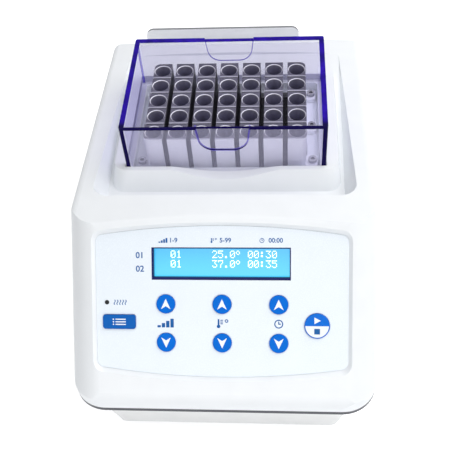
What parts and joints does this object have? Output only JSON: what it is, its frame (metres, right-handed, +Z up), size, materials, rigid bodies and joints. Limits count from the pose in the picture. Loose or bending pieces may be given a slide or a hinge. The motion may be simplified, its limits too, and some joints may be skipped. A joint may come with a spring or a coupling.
{
  "type": "dry block heater",
  "caption": "Bench dry block heater: white wedge case with sloping key panel and display, drilled aluminium tube block under a clear violet lift-off lid.",
  "frame": {"origin": "middle of the outer box, on the table under the feet", "axes": "+X to the user's right, +Y to the back, +Z up"},
  "size_m": [0.191, 0.2788, 0.1675],
  "materials": {
    "housing_white": "fine satin moulded ABS",
    "pan_grey": "satin moulded ABS",
    "plate_white": "powder coat",
    "overlay_film": "satin printed polyester film",
    "display_blue": "backlit display glass",
    "key_blue": "satin moulded key",
    "key_navy": "satin moulded key",
    "key_start": "satin two-colour key",
    "lid_violet": "polished clear violet acrylic",
    "block_aluminium": "milled and anodised",
    "screw_steel": "zinc plated",
    "bracket_steel": "plain sheet",
    "foot_rubber": "moulded",
    "heater_silicone": "moulded silicone",
    "insulation_felt": "felted glass fibre",
    "board_green": "solder mask",
    "transformer_core": "varnished",
    "black_plastic": "moulded",
    "rocker_black": "moulded",
    "brass_posts": "plain"
  },
  "bodies": {
    "housing": {"upper_housing": "housing_white", "lid_surround": "housing_white", "base_pan": "pan_grey", "rear_panel": "plate_white", "rear_panel_screws": "screw_steel", "rubber_feet": "foot_rubber", "feet_screws": "screw_steel", "housing_screws": "screw_steel", "panel_overlay": "overlay_film", "lcd_cell": "display_blue", "lcd_module": "black_plastic", "heating_led": "black_plastic", "control_board": "board_green", "tact_switches": "black_plastic", "control_standoffs": "brass_posts", "control_screws": "screw_steel", "heating_block": "block_aluminium", "block_screws": "screw_steel", "heater_mat": "heater_silicone", "insulation_pad": "insulation_felt", "heater_bracket": "bracket_steel", "bracket_screws": "screw_steel", "temperature_sensor": "bracket_steel", "thermal_cutout": "bracket_steel", "power_board": "board_green", "transformer": "transformer_core", "triac_heatsink": "block_aluminium", "filter_capacitors": "black_plastic", "board_standoffs": "brass_posts", "board_screws": "screw_steel", "power_inlet": "black_plastic", "inlet_pins": "brass_posts", "power_switch_body": "black_plastic"},
    "lid": {"lid": "lid_violet"},
    "segment_up_key": {"segment_up_key": "key_blue"},
    "segment_down_key": {"segment_down_key": "key_blue"},
    "temperature_up_key": {"temperature_up_key": "key_blue"},
    "temperature_down_key": {"temperature_down_key": "key_blue"},
    "time_up_key": {"time_up_key": "key_blue"},
    "time_down_key": {"time_down_key": "key_blue"},
    "start_stop_key": {"start_stop_key": "key_start"},
    "program_key": {"program_key": "key_navy"},
    "rocker": {"power_switch_rocker": "rocker_black"}
  },
  "joints": [
    {"name": "lid_lift", "type": "slide", "parent": "housing", "child": "lid", "axis": [0, 0, 1], "range_m": [0, 0.12]},
    {"name": "segment_up_key_press", "type": "slide", "parent": "housing", "child": "segment_up_key", "axis": [0, 0.7009, -0.7133], "range_m": [0, 0.0005], "stiffness_N_per_m": 300, "springref_m": -0.0005},
    {"name": "segment_down_key_press", "type": "slide", "parent": "housing", "child": "segment_down_key", "axis": [0, 0.7009, -0.7133], "range_m": [0, 0.0005], "stiffness_N_per_m": 300, "springref_m": -0.0005},
    {"name": "temperature_up_key_press", "type": "slide", "parent": "housing", "child": "temperature_up_key", "axis": [0, 0.7009, -0.7133], "range_m": [0, 0.0005], "stiffness_N_per_m": 300, "springref_m": -0.0005},
    {"name": "temperature_down_key_press", "type": "slide", "parent": "housing", "child": "temperature_down_key", "axis": [0, 0.7009, -0.7133], "range_m": [0, 0.0005], "stiffness_N_per_m": 300, "springref_m": -0.0005},
    {"name": "time_up_key_press", "type": "slide", "parent": "housing", "child": "time_up_key", "axis": [0, 0.7009, -0.7133], "range_m": [0, 0.0005], "stiffness_N_per_m": 300, "springref_m": -0.0005},
    {"name": "time_down_key_press", "type": "slide", "parent": "housing", "child": "time_down_key", "axis": [0, 0.7009, -0.7133], "range_m": [0, 0.0005], "stiffness_N_per_m": 300, "springref_m": -0.0005},
    {"name": "start_stop_key_press", "type": "slide", "parent": "housing", "child": "start_stop_key", "axis": [0, 0.7009, -0.7133], "range_m": [0, 0.0005], "stiffness_N_per_m": 300, "springref_m": -0.0005},
    {"name": "program_key_press", "type": "slide", "parent": "housing", "child": "program_key", "axis": [0, 0.7009, -0.7133], "range_m": [0, 0.0005], "stiffness_N_per_m": 300, "springref_m": -0.0005},
    {"name": "rocker_tilt", "type": "hinge", "parent": "housing", "child": "rocker", "pos_m": [0.004, 0.13409, 0.084], "axis": [1, 0, 0], "range_deg": [-16, 0]}
  ]
}
